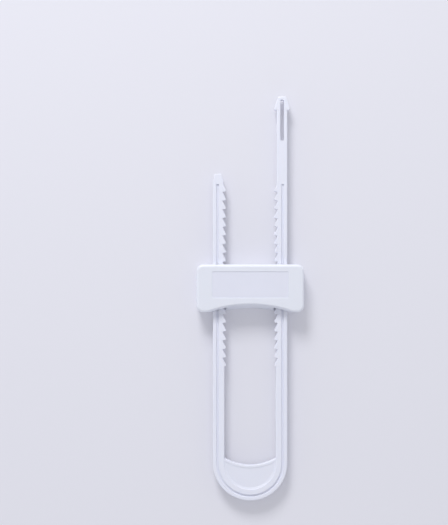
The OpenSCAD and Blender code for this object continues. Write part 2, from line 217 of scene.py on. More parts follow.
def moulded(name, light, dark, ior, roughness, grain, grain_depth, waxy):
    """A moulded plastic: two close colours, its IOR and shine, and its grain in millimetres."""
    material = bpy.data.materials.new(name)
    material.use_nodes = True
    tree = material.node_tree
    shader = tree.nodes["Principled BSDF"]
    place = add(tree, "ShaderNodeTexCoord").outputs["Object"]
    cloud = add(tree, "ShaderNodeTexNoise",
                {"Vector": place, "Scale": 1 / (CLOUD * MM), "Detail": 2})
    colour = add(tree, "ShaderNodeMix",
                 {0: cloud.outputs["Fac"], 6: linear(dark), 7: linear(light)}, data_type="RGBA")
    tree.links.new(colour.outputs[2], shader.inputs["Base Color"])
    patches = add(tree, "ShaderNodeTexNoise",
                  {"Vector": place, "Scale": 1 / (PATCH * MM), "Detail": 3})
    shine = add(tree, "ShaderNodeMapRange",
                {"Value": patches.outputs["Fac"], "From Min": 0.3, "From Max": 0.7,
                 "To Min": roughness - 0.04, "To Max": roughness + 0.05})
    tree.links.new(shine.outputs["Result"], shader.inputs["Roughness"])
    fine = add(tree, "ShaderNodeTexNoise",
               {"Vector": place, "Scale": 1 / (grain * MM), "Detail": 2, "Roughness": 0.6})
    bump = add(tree, "ShaderNodeBump",
               {"Height": fine.outputs["Fac"], "Strength": 0.5, "Distance": grain_depth * MM})
    tree.links.new(bump.outputs["Normal"], shader.inputs["Normal"])
    shader.inputs["IOR"].default_value = ior
    shader.inputs["Subsurface Weight"].default_value = waxy
    shader.inputs["Subsurface Radius"].default_value = (1, 0.95, 0.9)
    shader.inputs["Subsurface Scale"].default_value = LIGHT_REACH * MM
    print(name, "grain", grain, "mm, roughness", roughness)
    return material


# The grain is really about 0.05 mm. It is drawn at 0.25 mm so that a close view shows it.
polypropylene = moulded("polypropylene_satin", "E7E9F5", "E4E6F2", 1.49, 0.40, 0.25, 0.006, 0.25)
abs_satin = moulded("abs_satin", "E4E7F1", "E1E4EE", 1.54, 0.36, 0.25, 0.005, 0.1)
# The sunk panel and the pads are eroded more coarsely, which scatters more light and looks duller.
# Their colour is also painted a little darker: painted shade, so the flat panel reads darker than
# the rounded rim round it.
abs_eroded_painted_shade = moulded("abs_spark_eroded_painted_shade", "E1E3F0", "DEE0ED", 1.54, 0.52, 0.35, 0.02, 0.1)
acetal = moulded("acetal_natural", "EFECE0", "E9E6DA", 1.48, 0.34, 0.3, 0.004, 0.3)


# %% [markdown]
# ## Zinc-plated steel
# The screws are zinc plated: a pale grey metal with a slightly milky shine, brighter where the
# plating is thick. A metal's colour is its reflection, so it is fully metallic with the default
# IOR, and one pattern moves its roughness and its tint.

# %% Zinc plating
SPANGLE = 0.6
zinc = bpy.data.materials.new("steel_zinc_plated")
zinc.use_nodes = True
zinc_tree = zinc.node_tree
zinc_shader = zinc_tree.nodes["Principled BSDF"]
zinc_place = add(zinc_tree, "ShaderNodeTexCoord").outputs["Object"]
spangle = add(zinc_tree, "ShaderNodeTexNoise",
              {"Vector": zinc_place, "Scale": 1 / (SPANGLE * MM), "Detail": 3})
tint = add(zinc_tree, "ShaderNodeMix",
           {0: spangle.outputs["Fac"], 6: linear("B4B8BC"), 7: linear("CED0D1")}, data_type="RGBA")
zinc_tree.links.new(tint.outputs[2], zinc_shader.inputs["Base Color"])
milky = add(zinc_tree, "ShaderNodeMapRange",
            {"Value": spangle.outputs["Fac"], "To Min": 0.24, "To Max": 0.42})
zinc_tree.links.new(milky.outputs["Result"], zinc_shader.inputs["Roughness"])
zinc_shader.inputs["Metallic"].default_value = 1
print("steel_zinc_plated spangle", SPANGLE, "mm")

# %% [markdown]
# ## Drawing in millimetres
# The shapes could be boxes with a Bevel modifier, but that modifier smears where a round corner
# runs into a curved edge. Here each moulding is lofted instead: rings of points, all with the same
# count, are joined by faces, and the fillets are simply more rings. The helpers below draw round
# lines, join rings and fill flat faces. The last one turns the result into an object, which shades
# flat faces flat and fillets smoothly, and rides on its body.

# %% Rounded lines
def rounded(points, radii, steps=4):
    """A line of points whose inner corners give way to short arcs of about these radii."""
    line = [tuple(points[0])]
    for before, corner, after, radius in zip(points, points[1:], points[2:], radii):
        corner = Vector(corner)
        back, on = Vector(before) - corner, Vector(after) - corner
        reach = radius / math.tan(back.angle(on) / 2)
        reach = min(reach, 0.45 * back.length, 0.45 * on.length)
        start, end = corner + back.normalized() * reach, corner + on.normalized() * reach
        for share in np.linspace(0, 1, steps + 1):
            line.append(tuple((1 - share) ** 2 * start + 2 * share * (1 - share) * corner
                              + share ** 2 * end))
    return line + [tuple(points[-1])]


def arc(centre, radius, start, end, count):
    """Points on an arc, angles in degrees."""
    angles = [math.radians(a) for a in np.linspace(start, end, count)]
    return [(centre[0] + radius * math.cos(a), centre[1] + radius * math.sin(a)) for a in angles]


def round_rect(x0, y0, x1, y1, r, count):
    """A rectangle's outline with round corners, each of count points."""
    return (arc((x1 - r, y0 + r), r, -90, 0, count) + arc((x1 - r, y1 - r), r, 0, 90, count)
            + arc((x0 + r, y1 - r), r, 90, 180, count) + arc((x0 + r, y0 + r), r, 180, 270, count))


def quarter(angles):
    """A rounded edge of radius 1, as (in from the side, down from the top) at each angle."""
    return [(1 - math.cos(math.radians(a)), 1 - math.sin(math.radians(a))) for a in angles]


# %% Flat faces
def fill(bm, *rows):
    """Fills the flat face inside a row of vertices, less those rows that lie inside it."""
    edges = [bm.edges.get((row[k - 1], row[k])) or bm.edges.new((row[k - 1], row[k]))
             for row in rows for k in range(len(row))]
    bmesh.ops.triangle_fill(bm, use_beauty=True, use_dissolve=False, edges=edges)


# %% Lofted rings
def loft(bm, rings, first_cap=True, last_cap=True):
    """Joins closed rings of equal count with faces and returns the rings' vertices."""
    rows = [[bm.verts.new(point) for point in ring] for ring in rings]
    count = len(rows[0])
    for low, high in zip(rows, rows[1:]):
        for k in range(count):
            bm.faces.new((low[k], low[(k + 1) % count], high[(k + 1) % count], high[k]))
    if first_cap:
        fill(bm, rows[0])
    if last_cap:
        fill(bm, rows[-1])
    return rows


def box(bm, corner, opposite):
    """Adds a box between two opposite corners."""
    (x0, x1), (y0, y1), (z0, z1) = (sorted(pair) for pair in zip(corner, opposite))
    loft(bm, [[(x0, y0, z), (x1, y0, z), (x1, y1, z), (x0, y1, z)] for z in (z0, z1)])


def turned(bm, centre, profile, count=48, first_cap=True, last_cap=True):
    """Adds a turned shape on an axis along Z. profile lists (radius, height)."""
    return loft(bm, [[(x, y, z) for x, y in arc(centre, radius, 0, 360, count + 1)[:-1]]
                     for radius, z in profile], first_cap, last_cap)


# %% From rings to a piece
SAME_POINT, CREASE = 0.002, math.radians(38)


def to_mesh(name, bm, side):
    """Turns a closed mesh drawn in millimetres into one in metres, mirrored where side is -1."""
    bmesh.ops.remove_doubles(bm, verts=bm.verts, dist=SAME_POINT)
    bmesh.ops.delete(bm, geom=[v for v in bm.verts if not v.link_faces], context="VERTS")
    bmesh.ops.scale(bm, vec=(side * MM, MM, MM), verts=bm.verts)
    bmesh.ops.recalc_face_normals(bm, faces=bm.faces)
    print(name, "open edges:", sum(len(edge.link_faces) != 2 for edge in bm.edges))
    mesh = bpy.data.meshes.new(name)
    bm.to_mesh(mesh)
    bm.free()
    mesh.polygons.foreach_set("use_smooth", [True] * len(mesh.polygons))
    mesh.set_sharp_from_angle(angle=CREASE)
    return mesh


def finish_piece(name, bm, finish, body=None, replaces=(), side=1):
    """Makes the object of a mesh drawn in millimetres, with its finish and body, hiding the parts
    it replaces.
    """
    mesh = to_mesh(name, bm, side)
    mesh.materials.append(finish)
    made = bpy.data.objects.new(name, mesh)
    scene.collection.objects.link(made)
    made.modifiers.new("flat_faces_stay_flat", "WEIGHTED_NORMAL").keep_sharp = True
    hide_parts(*replaces)
    if body:
        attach(made, body)
    print(name, "faces:", len(mesh.polygons))
    return made


# %% [markdown]
# ## The U-bar as one long loft
# The bar is one moulding, 6 mm thick, with a groove that runs round it in both faces. Its section
# hardly changes along the way, so it is drawn once, as distances in from the outer face, and set at
# every station along the U. What changes is where the section's inner side lies, because the teeth
# are on it. Each tooth leans a little even on its locking side, so every station has its own
# height and the rings never cross. The two halves of the mould meet half-way up the bar's sides,
# and the section has a notch of 0.04 mm there, the parting line that all moulded parts have.

# %% Sizes of the bar
OUTER_X = -bar_low.x
BEND_Y = bar_low.y + OUTER_X
TIP_Y = bar_high.y
MID_Z = (bar_low.z + bar_high.z) / 2
HALF_T = (bar_high.z - bar_low.z) / 2
LEG_W, UPPER_W, NOTCH_W, TOOTH_W = 6.6, 6.0, 5.5, 7.5
TOOTH_Y, PITCH, TEETH = -39.2, 5.08, 21
# A tooth's flat tip, and how far its locking side leans, on the first tooth and on the others
LAND, FIRST_LEAN, LEAN = 0.6, 0.225, 0.5
TEETH_TOP_Y, GROOVE_END_Y, SHORT_TIP_Y = 65.985, 66.5, 72.5
LEG_END_Y = GROOVE_END_Y + 1
SLIT_R, SLIT_Y0, SLIT_Y1, SLIT_END_HALF = 1.05, 91.6, 115.6, 0.15
print("bend at y", round(BEND_Y, 2), "tip at y", round(TIP_Y, 2), "middle at z", round(MID_Z, 2))

# %% The inner side with its teeth
FOOT_R, TOOTH_R, NOTCH_R, TOP_R = 0.25, 0.18, 0.3, 0.6
tooth_points, tooth_radii = [(BEND_Y, LEG_W), (TOOTH_Y - FIRST_LEAN, LEG_W)], [FOOT_R]
for i in range(TEETH):
    y = TOOTH_Y + i * PITCH
    tooth_points += [(y, TOOTH_W), (y + LAND, TOOTH_W)]
    tooth_radii += [TOOTH_R, TOOTH_R]
    if i < TEETH - 1:
        tooth_points.append((y + PITCH - LEAN, NOTCH_W))
        tooth_radii.append(NOTCH_R)
tooth_points += [(TEETH_TOP_Y, UPPER_W), (LEG_END_Y, UPPER_W)]
tooth_radii.append(TOP_R)
tooth_line = rounded(tooth_points, tooth_radii, 3)
print("teeth on each leg:", TEETH, "points on the line:", len(tooth_line))

# %% The leg ends
# (height, half the width) of each leg above its groove. The long leg has the barb, and the short
# one only a lead-in.
HALF_LEG, HALF_BARB, HALF_NOSE, HALF_TIP = UPPER_W / 2, 4.5, 2.6, 1.9
barb_line = rounded([(LEG_END_Y, HALF_LEG), (TIP_Y - 8, HALF_LEG), (TIP_Y - 7.7, HALF_BARB),
                     (TIP_Y - 6.8, HALF_BARB), (TIP_Y - 0.9, HALF_NOSE), (TIP_Y, HALF_TIP)],
                    [0.2, 0.3, 0.35, 0.6])
lead_line = rounded([(LEG_END_Y, HALF_LEG), (SHORT_TIP_Y - 4, HALF_LEG), (SHORT_TIP_Y, HALF_TIP)],
                    [2])
print("barb width in mm:", 2 * HALF_BARB, "slit width in mm:", 2 * SLIT_R)


def slit_half(y):
    """Half the slit's width at this height, or None beyond its round ends."""
    if not SLIT_Y0 <= y <= SLIT_Y1:
        return None
    depth = min(y - SLIT_Y0, SLIT_Y1 - y, SLIT_R)
    return max(math.sqrt(SLIT_R ** 2 - (SLIT_R - depth) ** 2), SLIT_END_HALF)


# %% The section
# Roundings of the bar's outer and inner edges, its teeth and its tips, and points on each
OUTER_SOFT, INNER_SOFT, TOOTH_SOFT, TIP_SOFT, SOFT_POINTS = 0.5, 0.45, 0.22, 0.45, 5
# One side of the groove and of the slit, as (distance, depth), and the parting line's notch
GROOVE_DEEP, GROOVE_MID = 0.8, 2.7
GROOVE = [(1.85, 0), (1.96, 0.03), (2.0, 0.14), (2.02, 0.6), (2.09, 0.74), (2.25, GROOVE_DEEP)]
SLIT_EDGE = [(0.35, 0), (0.2, 0), (0.1, 0.03), (0.03, 0.1), (0, 0.2), (0, 1)]
PARTING = [(0.04, 0.02), (0, 0.07)]


def section(outer, inner, soft_inner, shrink, columns):
    """Points round the bar's section, as (distance in from the outer face, height)."""
    top = HALF_T - shrink
    outer, inner = outer + shrink, inner - shrink
    upper = [(outer + deep, height) for deep, height in PARTING]
    upper += arc((outer + OUTER_SOFT, top - OUTER_SOFT), OUTER_SOFT, 180, 90, SOFT_POINTS)
    upper += [(min(max(across, outer + OUTER_SOFT), inner - soft_inner), top - depth)
              for across, depth in columns]
    upper += arc((inner - soft_inner, top - soft_inner), soft_inner, 90, 0, SOFT_POINTS)
    upper += [(inner - deep, height) for deep, height in reversed(PARTING)]
    return upper + [(across, -height) for across, height in reversed(upper)]


def groove_columns(depth):
    """Points across the top of the section with a groove in it that is no deeper than depth."""
    left = [(across, min(down, depth)) for across, down in GROOVE]
    return left + [(2 * GROOVE_MID - across, down) for across, down in reversed(left)]


def slit_columns(half, deep):
    """Points across the top with a slit of this half width, or flat where deep is 0."""
    left = [(HALF_LEG - half - across, down * deep) for across, down in SLIT_EDGE]
    return left + [(UPPER_W - across, down) for across, down in reversed(left)]


# %% Stations along a leg
# How far the groove takes to run out, and the slit's first station beyond each end
RUN_OUT, SLIT_LIP = 0.18, 0.04


def leg_stations(side, end_line, tip_y):
    """(height, section) for every station of a leg from the bend to its tip."""
    heights = [p[0] for p in tooth_line] + [p[0] for p in end_line]
    heights += [GROOVE_END_Y - RUN_OUT, GROOVE_END_Y]
    heights += [tip_y - TIP_SOFT * down for _, down in quarter((0, 25, 50, 70, 90))]
    if side > 0:
        for out, _ in quarter(np.linspace(0, 90, 7)):
            heights += [SLIT_Y0 + SLIT_R * out, SLIT_Y1 - SLIT_R * out]
        heights += [SLIT_Y0 - SLIT_LIP, SLIT_Y1 + SLIT_LIP]
    stations = []
    for y in sorted(set(round(h, 4) for h in heights)):
        into_tip = min(max(0, y - tip_y + TIP_SOFT), TIP_SOFT)
        shrink = TIP_SOFT - math.sqrt(TIP_SOFT ** 2 - into_tip ** 2)
        if y > LEG_END_Y - 0.1:
            half = float(np.interp(y, *zip(*end_line)))
            outer, inner = HALF_LEG - half, HALF_LEG + half
        else:
            outer, inner = 0, float(np.interp(y, *zip(*tooth_line)))
        toothed = TOOTH_Y - 0.3 < y < TEETH_TOP_Y - 0.5
        if side > 0 and y > SLIT_Y0 - 1:
            half = slit_half(y)
            columns = slit_columns(half or 0, 0 if half is None else 1)
        else:
            columns = groove_columns(GROOVE_DEEP if y < GROOVE_END_Y - 0.1 else 0)
        soft = TOOTH_SOFT if toothed else INNER_SOFT
        stations.append((y, section(outer, inner, soft, shrink, columns)))
    return stations


# %% Join the stations into the bar
BEND_STEPS = 96


def at(origin, inward, points):
    """Stands a section up at a point of the outer face. inward is the way into the U."""
    return [(origin[0] + inward[0] * across, origin[1] + inward[1] * across, MID_Z + height)
            for across, height in points]


left = leg_stations(-1, lead_line, SHORT_TIP_Y)
right = leg_stations(1, barb_line, TIP_Y)
plain = section(0, LEG_W, INNER_SOFT, 0, groove_columns(GROOVE_DEEP))
path = [(at((-OUTER_X, y), (1, 0), points), None) for y, points in reversed(left)]
for a in np.linspace(180, 360, BEND_STEPS + 1)[1:-1]:
    outward = Vector((math.cos(math.radians(a)), math.sin(math.radians(a))))
    path.append((at(Vector((0, BEND_Y)) + outward * OUTER_X, -outward, plain), None))
path += [(at((OUTER_X, y), (-1, 0), points), slit_half(y)) for y, points in right]

bm = bmesh.new()
rows = [[bm.verts.new(point) for point in ring] for ring, _ in path]
count = len(rows[0])
# The slit's left wall runs from point UP on the front to point DOWN on the back.
UP = len(PARTING) + SOFT_POINTS + len(SLIT_EDGE) - 1
DOWN = count - 1 - UP
for (low, high), (_, slit_low), (_, slit_high) in zip(zip(rows, rows[1:]), path, path[1:]):
    through = slit_low is not None and slit_high is not None
    for k in range(count):
        if not (through and k in (UP, DOWN - 1)):
            bm.faces.new((low[k], low[(k + 1) % count], high[(k + 1) % count], high[k]))
    if through:
        bm.faces.new((low[UP], low[DOWN], high[DOWN], high[UP]))
        bm.faces.new((low[UP + 1], high[UP + 1], high[DOWN - 1], low[DOWN - 1]))
    elif slit_low is not None or slit_high is not None:
        end = high if slit_low is None else low
        bm.faces.new((end[UP], end[UP + 1], end[DOWN - 1], end[DOWN]))
for row in (rows[0], rows[-1]):
    middle = bm.verts.new(sum((vert.co for vert in row), Vector()) / count)
    for k in range(count):
        bm.faces.new((row[k - 1], row[k], middle))
toothed_bar = finish_piece("toothed_bar", bm, polypropylene, "bar", ["u_bar"])

# %% [markdown]
# ## The web in the closed end
# A thin web fills the bend. Its hollow upper edge has a rim, and below the rim its faces are sunk
# once more and rise to the bar in a soft slope. Its outline could be cut with booleans, but all
# its lines run side by side: each is the same half circle, two straight sides and a hollow upper
# edge, only further in. So one function gives the outline for any distance in, and the web is a
# loft of those outlines. Its sides run 0.6 mm into the bar, as they are one moulding.

# %% Web
WEB_EDGE_Y, WEB_EDGE_R = -67.5, 29.5
STRAIGHT = (0.35, 0.7)


def web_ring(side, top, z):
    """The web's outline at height z, side further in from the legs, top from the hollow edge."""
    half = OUTER_X - LEG_W - side
    radius = WEB_EDGE_R + top
    turn = math.degrees(math.asin(half / radius))
    side_y = WEB_EDGE_Y - math.sqrt(radius ** 2 - half ** 2)
    outline = arc((0, BEND_Y), half, 180, 360, 49)
    outline += [(half, BEND_Y + (side_y - BEND_Y) * share) for share in STRAIGHT]
    outline += arc((0, WEB_EDGE_Y), radius, 270 + turn, 270 - turn, 41)
    outline += [(-half, BEND_Y + (side_y - BEND_Y) * share) for share in reversed(STRAIGHT)]
    return [(x, y, z) for x, y in outline]


# From the web's edge over its rim and down to its field, as (side, top, height from the middle)
RIM = [(-0.6, 0, 2.05), (-0.6, 0.05, 2.24), (-0.6, 0.16, 2.36), (-0.6, 0.35, 2.4),
       (0.1, 1.3, 2.4), (0.28, 1.44, 2.37), (0.5, 1.56, 2.29), (0.7, 1.68, 2.18),
       (0.9, 1.83, 2.12), (1.1, 2.1, 2.1)]
levels = [(side, top, MID_Z - height) for side, top, height in reversed(RIM)]
levels += [(side, top, MID_Z + height) for side, top, height in RIM]
bm = bmesh.new()
loft(bm, [web_ring(*level) for level in levels])
web = finish_piece("closed_end_web", bm, polypropylene, "bar", ["u_bar"])

# %% [markdown]
# ## The block's outline
# Seen from the front the block is a rectangle with round corners and a shallow arch in its lower
# edge, which clears the knobs. The arch is a cone, so its edge climbs towards the front and its
# underside shows as a shaded band. Both covers, their insides and their rounded edges all follow
# this outline, so it is one function of the height and of how far in the ring lies.

# %% Block outline
front_low, front_high = (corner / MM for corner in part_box("front_cover"))
rear_low, rear_high = (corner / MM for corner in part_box("rear_cover"))
BLOCK_X, BLOCK_Y0, BLOCK_Y1 = front_high.x, front_low.y, front_high.y
FRONT_Z, SEAM_Z = front_high.z, front_low.z
ARCH_R_BACK, ARCH_R_FRONT, ARCH_RISE = 71.108, 74.108, 4.9
ARCH_Y = BLOCK_Y0 + ARCH_RISE - ARCH_R_FRONT
CORNER_R, CORNER_POINTS, ARCH_POINTS = 3.8, 9, 41
# Where the arch meets the straight edge: how long the soft bend is, and a radius that fills it
BEND_L, WIDE = 2.4, 99


def block_ring(z, inset=0, wall=0, arch_in=0):
    """The block's outline at height z, inset all round, with the arch arch_in further up."""
    half, low, high = BLOCK_X - wall - inset, BLOCK_Y0 + wall + inset, BLOCK_Y1 - wall - inset
    corner = max(CORNER_R - wall - inset, 0.2)
    radius = ARCH_R_BACK + (ARCH_R_FRONT - ARCH_R_BACK) * z / FRONT_Z + wall + arch_in
    cross = math.sqrt(max(radius ** 2 - (low - ARCH_Y) ** 2, 1))
    turn = math.degrees(math.asin(cross / radius))
    bend = min(BEND_L, 0.8 * (half - corner - cross))
    on_arch = arc((0, ARCH_Y), radius, 90 - turn + math.degrees(bend / radius),
                  90 + turn - math.degrees(bend / radius), ARCH_POINTS)
    soft_right = rounded([on_arch[0], (cross, low), (cross + bend + 0.01, low)], [WIDE], 6)[1:-1]
    outline = [(half - corner - 0.01, low)]
    outline += arc((half - corner, low + corner), corner, -90, 0, CORNER_POINTS)
    outline += arc((half - corner, high - corner), corner, 0, 90, CORNER_POINTS)
    outline += [((half - corner) * share, high) for share in np.linspace(0.75, -0.75, 7)]
    outline += arc((corner - half, high - corner), corner, 90, 180, CORNER_POINTS)
    outline += arc((corner - half, low + corner), corner, 180, 270, CORNER_POINTS)
    outline += [(-x, y) for x, y in reversed(soft_right)]
    outline += list(reversed(on_arch))
    outline += soft_right
    return [(x, y, z) for x, y in outline]


print("block in mm:", round(2 * BLOCK_X, 2), round(BLOCK_Y1 - BLOCK_Y0, 2), round(FRONT_Z, 2))

# %% [markdown]
# ## Cutting and joining
# The slots for the legs and the windows for the buttons go straight through the walls, and ribs and
# bosses stand on them. For those a boolean is the right tool: the shape is drawn as a mesh of its
# own and cut out of the piece or joined on. Where this leaves crisp edges, a narrow bevel softens
# them, as a real mould does, and the result is kept as plain mesh before the next step.

# %% Booleans, kept as mesh
CRISP = math.radians(55)


def combine(made, bm, operation, soft=0, side=1):
    """Cuts a mesh drawn in millimetres out of a piece, or joins it on. soft bevels its edges."""
    tool = bpy.data.objects.new("tool", to_mesh("tool", bm, side))
    scene.collection.objects.link(tool)
    made.modifiers.clear()
    step = made.modifiers.new("step", "BOOLEAN")
    step.operation = operation
    step.solver = "EXACT"
    step.object = tool
    if soft:
        edge = made.modifiers.new("soft_edges", "BEVEL")
        edge.width = soft * MM
        edge.segments = 2
        edge.limit_method = "ANGLE"
        edge.angle_limit = CRISP
    depsgraph = bpy.context.evaluated_depsgraph_get()
    depsgraph.update()
    old, made.data = made.data, bpy.data.meshes.new_from_object(made.evaluated_get(depsgraph))
    made.modifiers.clear()
    bpy.data.meshes.remove(old)
    bpy.data.objects.remove(tool)
    made.data.set_sharp_from_angle(angle=CREASE)
    made.modifiers.new("flat_faces_stay_flat", "WEIGHTED_NORMAL").keep_sharp = True
    print(made.name, operation.lower(), "faces:", len(made.data.polygons))


# %% [markdown]
# ## What the mould leaves behind
# A moulding carries a few small marks on the side that isn't seen in use. Pins push it out of the
# mould and leave shallow round dents, and the plastic enters through a gate, whose stub sits in a
# dish so that it doesn't stand proud. They could be painted on, but then they'd have no edge to
# catch the light, so they are cut into the back of the bar and of its web.

# %% Pin marks and the gate
PIN_DEEP, DISH_DEEP, STUB_DOWN, PAST = 0.12, 0.2, 0.04, 0.5
LEG_X = OUTER_X - HALF_LEG
# The pins in the legs, as (x, y, radius), and the gate's dish and stub, as (radius, depth)
LEG_PINS = ((LEG_X, 73, 1.5), (LEG_X, 87, 1.5), (-LEG_X, 69.3, 1.1))
WEB_PIN_X, WEB_PIN_Y, WEB_PIN_R, GATE_Y = 7, -102.6, 1.6, -104
GATE = [(1.5, -PAST), (1.45, 0), (1.3, DISH_DEEP), (0.5, DISH_DEEP), (0.42, STUB_DOWN)]


def pin_mark(bm, x, y, r, surface):
    """A cutter for the dent of a pin with this radius, with a small slope at its edge."""
    turned(bm, (x, y), [(r + 0.08, surface - PAST), (r + 0.04, surface), (r, surface + PIN_DEEP)])


marks = bmesh.new()
for x, y, r in LEG_PINS:
    pin_mark(marks, x, y, r, bar_low.z)
combine(toothed_bar, marks, "DIFFERENCE")

web_back = MID_Z - RIM[-1][2]
marks = bmesh.new()
for x in (-WEB_PIN_X, WEB_PIN_X):
    pin_mark(marks, x, WEB_PIN_Y, WEB_PIN_R, web_back)
turned(marks, (0, GATE_Y), [(r, web_back + deep) for r, deep in GATE])
combine(web, marks, "DIFFERENCE")

# %% [markdown]
# ## The front cover
# The front cover is a shell with walls 1.8 mm thick. Its front edges are rounded by 1.6 mm, but the
# edge of the arch only by 0.6 mm, and there is a sunk panel with a crisp, shallow edge in its face.
# The shell is a loft up its outer side and a loft up its inner side, joined at the seam. The flat
# face between the outer edge and the panel is filled last.

# %% Front cover
EDGE_R, ARCH_EDGE_R, WALL, FRONT_IN_Z, SEAM_CHAMFER = 1.6, 0.6, 1.8, 11.6, 0.12
bm = bmesh.new()
outer = [block_ring(SEAM_Z, SEAM_CHAMFER, 0, SEAM_CHAMFER)]
outer += [block_ring(z) for z in (SEAM_Z + SEAM_CHAMFER, 5, 8, FRONT_Z - EDGE_R)]
for out, down in quarter(np.linspace(0, 90, 13)[1:]):
    z = FRONT_Z - EDGE_R * down
    into_edge = max(0, z - (FRONT_Z - ARCH_EDGE_R)) / ARCH_EDGE_R
    arch_in = ARCH_EDGE_R * (1 - math.sqrt(1 - into_edge ** 2))
    outer.append(block_ring(z, EDGE_R * out, 0, arch_in))
outer_rows = loft(bm, outer, False, False)
inner_rows = loft(bm, [block_ring(z, 0, WALL) for z in (SEAM_Z, 8, FRONT_IN_Z)], False, True)
for k, vert in enumerate(outer_rows[0]):
    after = (k + 1) % len(outer_rows[0])
    bm.faces.new((vert, outer_rows[0][after], inner_rows[0][after], inner_rows[0][k]))

PANEL_X, PANEL_Y0, PANEL_Y1, PANEL_R = 22.15, BLOCK_Y1 - 19.4, BLOCK_Y1 - 4.1, 0.8
# The panel's wall from the face down to its floor, as (outwards, down)
PANEL_EDGE = [(0.14, 0), (0.04, 0.03), (0, 0.09), (-0.03, 0.22), (-0.06, 0.27), (-0.15, 0.3)]


def panel_ring(grow, z):
    """The panel's outline at height z, larger all round by grow."""
    half = PANEL_X + grow
    return [(x, y, z) for x, y in round_rect(-half, PANEL_Y0 - grow, half, PANEL_Y1 + grow,
                                             PANEL_R + grow, 6)]


panel_rows = loft(bm, [panel_ring(grow, FRONT_Z - down) for grow, down in PANEL_EDGE], False, True)
fill(bm, outer_rows[-1], panel_rows[0])
front = finish_piece("block_front", bm, abs_satin, "block", ["front_cover"])

# %% Slots and windows in the front cover
SLOT_X0, SLOT_X1, SLOT_Z0, ARM_Z0 = 13.8, 21.9, 1, 8.8
PAD_Y = (BLOCK_Y0 + BLOCK_Y1) / 2
WINDOW_HALF, WINDOW_Z0, WINDOW_Z1 = 8, 3.4, 10.4
SOFT_RIM = 0.2
openings = bmesh.new()
for side in (-1, 1):
    box(openings, (side * SLOT_X0, BLOCK_Y0 - 2, SLOT_Z0), (side * SLOT_X1, BLOCK_Y1 + 2, ARM_Z0))
    box(openings, (side * (BLOCK_X - WALL - 0.6), PAD_Y - WINDOW_HALF, WINDOW_Z0),
        (side * (BLOCK_X + 1), PAD_Y + WINDOW_HALF, WINDOW_Z1))
combine(front, openings, "DIFFERENCE", SOFT_RIM)

# %% Bosses for the screws and ribs for the buttons' arms
SCREW_X, SCREW_Y = 6.4, BLOCK_Y1 - 11.4
BOSS_R, PILOT_R, PILOT_TOP_Z = 2.8, 1.2, 10.35
ARM_Y0, ARM_Y1, ARM_PLAY = -1.92, 12.08, 0.25
RIB_X0, RIB_X1, RIB_Z0, RIB_T = 15.4, 25, 8.9, 1.2
inside = bmesh.new()
pilots = bmesh.new()
for side in (-1, 1):
    turned(inside, (side * SCREW_X, SCREW_Y),
           [(BOSS_R - 0.12, SEAM_Z), (BOSS_R, SEAM_Z + 0.12), (BOSS_R, FRONT_IN_Z + 0.8)])
    for y in (ARM_Y0 - ARM_PLAY - RIB_T, ARM_Y1 + ARM_PLAY):
        box(inside, (side * RIB_X0, y, RIB_Z0), (side * RIB_X1, y + RIB_T, FRONT_IN_Z + 0.6))
    turned(pilots, (side * SCREW_X, SCREW_Y),
           [(PILOT_R + 0.4, SEAM_Z - 0.5), (PILOT_R, SEAM_Z + 0.3), (PILOT_R, PILOT_TOP_Z)])
combine(front, inside, "UNION")
combine(front, pilots, "DIFFERENCE")

# %% The panel's own finish, whose darker colour is painted shade
PANEL_Z = FRONT_Z - PANEL_EDGE[-1][1]
# The panel's floor takes the eroded plastic, whose darker colour is painted shade.
front.data.materials.append(abs_eroded_painted_shade)
sunk = [face for face in front.data.polygons
        if face.normal.z > 0.9 and abs(face.center.z - PANEL_Z * MM) < 0.05 * MM]
for face in sunk:
    face.material_index = 1
print("faces of the sunk panel:", len(sunk))

# %% [markdown]
# ## The rear cover
# The rear cover is a plate that closes the block, and all that is seen of it from behind. Its
# edges are rounded by 0.8 mm and it has two countersunk screw holes. The plate is one loft again:
# the flat back is filled between the outline and the two holes, and each hole is turned inwards
# from there. Where the two covers meet, both have a tiny chamfer, which draws the thin line that
# every two-part housing shows.

# %% Rear cover
BACK_EDGE_R, ARCH_BACK_EDGE_R = 0.8, 0.35
bm = bmesh.new()
levels = []
for out, down in quarter(np.linspace(90, 0, 9)):
    z = rear_low.z + BACK_EDGE_R * down
    levels.append(block_ring(z, BACK_EDGE_R * out, 0, ARCH_BACK_EDGE_R * out))
levels += [block_ring(SEAM_Z - SEAM_CHAMFER), block_ring(SEAM_Z, SEAM_CHAMFER, 0, SEAM_CHAMFER)]
outer_rows = loft(bm, levels, False, False)
# A countersunk hole from the back to the seam, as (radius, height)
SINK = [(3.12, 0), (3.03, 0.05), (1.65, 1.43), (1.6, 1.5), (1.6, SEAM_Z)]
sinks = [turned(bm, (side * SCREW_X, SCREW_Y), SINK, first_cap=False, last_cap=False)
         for side in (-1, 1)]
fill(bm, outer_rows[0], sinks[0][0], sinks[1][0])
fill(bm, outer_rows[-1], sinks[0][-1], sinks[1][-1])
back = finish_piece("block_back", bm, abs_satin, "block", ["rear_cover"])

# %% Posts for the pawls and tabs that locate the front cover
POST_X, POST_Y, POST_R, POST_TOP_Z = 11.8, BLOCK_Y1 - 4.15, 1, rear_high.z
TAB_HALF, TAB_H, TAB_YS = 4, 2.5, (BLOCK_Y1 - 3.1, BLOCK_Y0 + 4.81)
GRIP = 0.6
inside = bmesh.new()
for side in (-1, 1):
    turned(inside, (side * POST_X, POST_Y),
           [(POST_R, SEAM_Z - GRIP), (POST_R, POST_TOP_Z - 0.25),
            (POST_R - 0.08, POST_TOP_Z - 0.08), (POST_R - 0.25, POST_TOP_Z)], 32)
for y in TAB_YS:
    box(inside, (-TAB_HALF, y, SEAM_Z - GRIP), (TAB_HALF, y + RIB_T, SEAM_Z + TAB_H))
combine(back, inside, "UNION")

